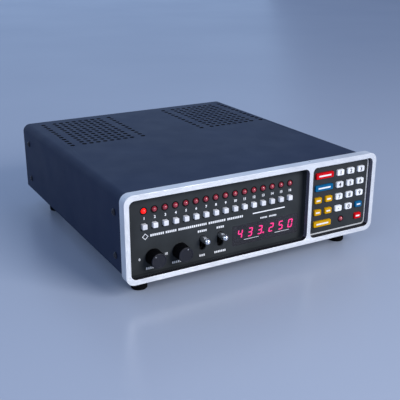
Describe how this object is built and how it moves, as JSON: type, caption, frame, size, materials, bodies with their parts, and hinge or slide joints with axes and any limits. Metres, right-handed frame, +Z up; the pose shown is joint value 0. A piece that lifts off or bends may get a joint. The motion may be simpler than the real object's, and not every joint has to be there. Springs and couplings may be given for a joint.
{
  "type": "desktop scanning radio receiver",
  "caption": "Desktop scanning radio receiver: silver-framed front with lamp row, channel buttons, readout, knobs, slide levers and a keypad, in a vented sheet-metal case on rubber feet.",
  "frame": {"origin": "on the floor under the middle of the overall box", "axes": "+Z up, +X to the right of a user who faces the front, and the front panel faces -Y"},
  "size_m": [0.27, 0.3, 0.0973],
  "materials": {
    "satin_silver": "satin",
    "panel_black": "matte",
    "smoked_window": "smoked",
    "dark_plastic": "matte",
    "red_lens": "gloss",
    "painted_sheet": "semi-matte",
    "plated_sheet": "plated",
    "foot_rubber": "matte",
    "screw_steel": "plated",
    "board_green": "satin",
    "board_part": "satin",
    "core_steel": "matte",
    "speaker_steel": "satin",
    "knob_black": "satin",
    "lever_chrome": "polished",
    "cap_white": "satin",
    "cap_yellow": "satin",
    "cap_blue": "satin",
    "cap_red": "satin"
  },
  "bodies": {
    "case": {"front_bezel": "satin_silver", "front_panel": "panel_black", "keypad_plate": "panel_black", "display_window": "smoked_window", "display_modules": "dark_plastic", "indicator_lamps": "red_lens", "top_cover": "painted_sheet", "chassis_tray": "plated_sheet", "rear_panel": "painted_sheet", "rear_jacks": "dark_plastic", "feet": "foot_rubber", "cover_screws": "screw_steel", "machine_screws": "screw_steel", "main_board": "board_green", "board_parts": "board_part", "control_board": "board_green", "control_switches": "dark_plastic", "keypad_board": "board_green", "power_transformer": "core_steel", "speaker": "speaker_steel"},
    "channel_button_1": {"channel_button_1": "cap_white"},
    "channel_button_2": {"channel_button_2": "cap_white"},
    "channel_button_3": {"channel_button_3": "cap_white"},
    "channel_button_4": {"channel_button_4": "cap_white"},
    "channel_button_5": {"channel_button_5": "cap_white"},
    "channel_button_6": {"channel_button_6": "cap_white"},
    "channel_button_7": {"channel_button_7": "cap_white"},
    "channel_button_8": {"channel_button_8": "cap_white"},
    "channel_button_9": {"channel_button_9": "cap_white"},
    "channel_button_10": {"channel_button_10": "cap_white"},
    "channel_button_11": {"channel_button_11": "cap_white"},
    "channel_button_12": {"channel_button_12": "cap_white"},
    "channel_button_13": {"channel_button_13": "cap_white"},
    "channel_button_14": {"channel_button_14": "cap_white"},
    "channel_button_15": {"channel_button_15": "cap_white"},
    "channel_button_16": {"channel_button_16": "cap_white"},
    "key_1": {"key_1": "cap_white"},
    "key_2": {"key_2": "cap_white"},
    "key_3": {"key_3": "cap_white"},
    "key_4": {"key_4": "cap_white"},
    "key_5": {"key_5": "cap_white"},
    "key_6": {"key_6": "cap_white"},
    "key_7": {"key_7": "cap_white"},
    "key_8": {"key_8": "cap_white"},
    "key_9": {"key_9": "cap_white"},
    "key_point": {"key_point": "cap_white"},
    "key_0": {"key_0": "cap_white"},
    "key_clear": {"key_clear": "cap_blue"},
    "key_enter": {"key_enter": "cap_red"},
    "key_up": {"key_up": "cap_yellow"},
    "key_down": {"key_down": "cap_yellow"},
    "key_reset": {"key_reset": "cap_yellow"},
    "key_limit": {"key_limit": "cap_yellow"},
    "key_scan": {"key_scan": "cap_red"},
    "key_program": {"key_program": "cap_blue"},
    "key_monitor": {"key_monitor": "cap_yellow"},
    "volume_knob": {"volume_knob": "knob_black"},
    "squelch_knob": {"squelch_knob": "knob_black"},
    "delay_lever": {"delay_lever": "lever_chrome"},
    "scan_lever": {"scan_lever": "lever_chrome"}
  },
  "joints": [
    {"name": "channel_button_1_push", "type": "slide", "parent": "case", "child": "channel_button_1", "axis": [0, 1, 0], "range_m": [0, 0.0015], "stiffness_N_per_m": 300, "springref_m": -0.0015},
    {"name": "channel_button_2_push", "type": "slide", "parent": "case", "child": "channel_button_2", "axis": [0, 1, 0], "range_m": [0, 0.0015], "stiffness_N_per_m": 300, "springref_m": -0.0015},
    {"name": "channel_button_3_push", "type": "slide", "parent": "case", "child": "channel_button_3", "axis": [0, 1, 0], "range_m": [0, 0.0015], "stiffness_N_per_m": 300, "springref_m": -0.0015},
    {"name": "channel_button_4_push", "type": "slide", "parent": "case", "child": "channel_button_4", "axis": [0, 1, 0], "range_m": [0, 0.0015], "stiffness_N_per_m": 300, "springref_m": -0.0015},
    {"name": "channel_button_5_push", "type": "slide", "parent": "case", "child": "channel_button_5", "axis": [0, 1, 0], "range_m": [0, 0.0015], "stiffness_N_per_m": 300, "springref_m": -0.0015},
    {"name": "channel_button_6_push", "type": "slide", "parent": "case", "child": "channel_button_6", "axis": [0, 1, 0], "range_m": [0, 0.0015], "stiffness_N_per_m": 300, "springref_m": -0.0015},
    {"name": "channel_button_7_push", "type": "slide", "parent": "case", "child": "channel_button_7", "axis": [0, 1, 0], "range_m": [0, 0.0015], "stiffness_N_per_m": 300, "springref_m": -0.0015},
    {"name": "channel_button_8_push", "type": "slide", "parent": "case", "child": "channel_button_8", "axis": [0, 1, 0], "range_m": [0, 0.0015], "stiffness_N_per_m": 300, "springref_m": -0.0015},
    {"name": "channel_button_9_push", "type": "slide", "parent": "case", "child": "channel_button_9", "axis": [0, 1, 0], "range_m": [0, 0.0015], "stiffness_N_per_m": 300, "springref_m": -0.0015},
    {"name": "channel_button_10_push", "type": "slide", "parent": "case", "child": "channel_button_10", "axis": [0, 1, 0], "range_m": [0, 0.0015], "stiffness_N_per_m": 300, "springref_m": -0.0015},
    {"name": "channel_button_11_push", "type": "slide", "parent": "case", "child": "channel_button_11", "axis": [0, 1, 0], "range_m": [0, 0.0015], "stiffness_N_per_m": 300, "springref_m": -0.0015},
    {"name": "channel_button_12_push", "type": "slide", "parent": "case", "child": "channel_button_12", "axis": [0, 1, 0], "range_m": [0, 0.0015], "stiffness_N_per_m": 300, "springref_m": -0.0015},
    {"name": "channel_button_13_push", "type": "slide", "parent": "case", "child": "channel_button_13", "axis": [0, 1, 0], "range_m": [0, 0.0015], "stiffness_N_per_m": 300, "springref_m": -0.0015},
    {"name": "channel_button_14_push", "type": "slide", "parent": "case", "child": "channel_button_14", "axis": [0, 1, 0], "range_m": [0, 0.0015], "stiffness_N_per_m": 300, "springref_m": -0.0015},
    {"name": "channel_button_15_push", "type": "slide", "parent": "case", "child": "channel_button_15", "axis": [0, 1, 0], "range_m": [0, 0.0015], "stiffness_N_per_m": 300, "springref_m": -0.0015},
    {"name": "channel_button_16_push", "type": "slide", "parent": "case", "child": "channel_button_16", "axis": [0, 1, 0], "range_m": [0, 0.0015], "stiffness_N_per_m": 300, "springref_m": -0.0015},
    {"name": "key_1_push", "type": "slide", "parent": "case", "child": "key_1", "axis": [0, 1, 0], "range_m": [0, 0.0012], "stiffness_N_per_m": 300, "springref_m": -0.0015},
    {"name": "key_2_push", "type": "slide", "parent": "case", "child": "key_2", "axis": [0, 1, 0], "range_m": [0, 0.0012], "stiffness_N_per_m": 300, "springref_m": -0.0015},
    {"name": "key_3_push", "type": "slide", "parent": "case", "child": "key_3", "axis": [0, 1, 0], "range_m": [0, 0.0012], "stiffness_N_per_m": 300, "springref_m": -0.0015},
    {"name": "key_4_push", "type": "slide", "parent": "case", "child": "key_4", "axis": [0, 1, 0], "range_m": [0, 0.0012], "stiffness_N_per_m": 300, "springref_m": -0.0015},
    {"name": "key_5_push", "type": "slide", "parent": "case", "child": "key_5", "axis": [0, 1, 0], "range_m": [0, 0.0012], "stiffness_N_per_m": 300, "springref_m": -0.0015},
    {"name": "key_6_push", "type": "slide", "parent": "case", "child": "key_6", "axis": [0, 1, 0], "range_m": [0, 0.0012], "stiffness_N_per_m": 300, "springref_m": -0.0015},
    {"name": "key_7_push", "type": "slide", "parent": "case", "child": "key_7", "axis": [0, 1, 0], "range_m": [0, 0.0012], "stiffness_N_per_m": 300, "springref_m": -0.0015},
    {"name": "key_8_push", "type": "slide", "parent": "case", "child": "key_8", "axis": [0, 1, 0], "range_m": [0, 0.0012], "stiffness_N_per_m": 300, "springref_m": -0.0015},
    {"name": "key_9_push", "type": "slide", "parent": "case", "child": "key_9", "axis": [0, 1, 0], "range_m": [0, 0.0012], "stiffness_N_per_m": 300, "springref_m": -0.0015},
    {"name": "key_point_push", "type": "slide", "parent": "case", "child": "key_point", "axis": [0, 1, 0], "range_m": [0, 0.0012], "stiffness_N_per_m": 300, "springref_m": -0.0015},
    {"name": "key_0_push", "type": "slide", "parent": "case", "child": "key_0", "axis": [0, 1, 0], "range_m": [0, 0.0012], "stiffness_N_per_m": 300, "springref_m": -0.0015},
    {"name": "key_clear_push", "type": "slide", "parent": "case", "child": "key_clear", "axis": [0, 1, 0], "range_m": [0, 0.0012], "stiffness_N_per_m": 300, "springref_m": -0.0015},
    {"name": "key_enter_push", "type": "slide", "parent": "case", "child": "key_enter", "axis": [0, 1, 0], "range_m": [0, 0.0012], "stiffness_N_per_m": 300, "springref_m": -0.0015},
    {"name": "key_up_push", "type": "slide", "parent": "case", "child": "key_up", "axis": [0, 1, 0], "range_m": [0, 0.0012], "stiffness_N_per_m": 300, "springref_m": -0.0015},
    {"name": "key_down_push", "type": "slide", "parent": "case", "child": "key_down", "axis": [0, 1, 0], "range_m": [0, 0.0012], "stiffness_N_per_m": 300, "springref_m": -0.0015},
    {"name": "key_reset_push", "type": "slide", "parent": "case", "child": "key_reset", "axis": [0, 1, 0], "range_m": [0, 0.0012], "stiffness_N_per_m": 300, "springref_m": -0.0015},
    {"name": "key_limit_push", "type": "slide", "parent": "case", "child": "key_limit", "axis": [0, 1, 0], "range_m": [0, 0.0012], "stiffness_N_per_m": 300, "springref_m": -0.0015},
    {"name": "key_scan_push", "type": "slide", "parent": "case", "child": "key_scan", "axis": [0, 1, 0], "range_m": [0, 0.0012], "stiffness_N_per_m": 300, "springref_m": -0.0015},
    {"name": "key_program_push", "type": "slide", "parent": "case", "child": "key_program", "axis": [0, 1, 0], "range_m": [0, 0.0012], "stiffness_N_per_m": 300, "springref_m": -0.0015},
    {"name": "key_monitor_push", "type": "slide", "parent": "case", "child": "key_monitor", "axis": [0, 1, 0], "range_m": [0, 0.0012], "stiffness_N_per_m": 300, "springref_m": -0.0015},
    {"name": "volume_knob_turn", "type": "hinge", "parent": "case", "child": "volume_knob", "pos_m": [-0.1055, -0.1468, 0.0353], "axis": [0, 1, 0], "range_deg": [-115, 185]},
    {"name": "squelch_knob_turn", "type": "hinge", "parent": "case", "child": "squelch_knob", "pos_m": [-0.0793, -0.1468, 0.0353], "axis": [0, 1, 0], "range_deg": [-170, 130]},
    {"name": "delay_lever_slide", "type": "slide", "parent": "case", "child": "delay_lever", "axis": [0, 0, -1], "range_m": [0, 0.008]},
    {"name": "scan_lever_slide", "type": "slide", "parent": "case", "child": "scan_lever", "axis": [0, 0, -1], "range_m": [0, 0.008]}
  ]
}
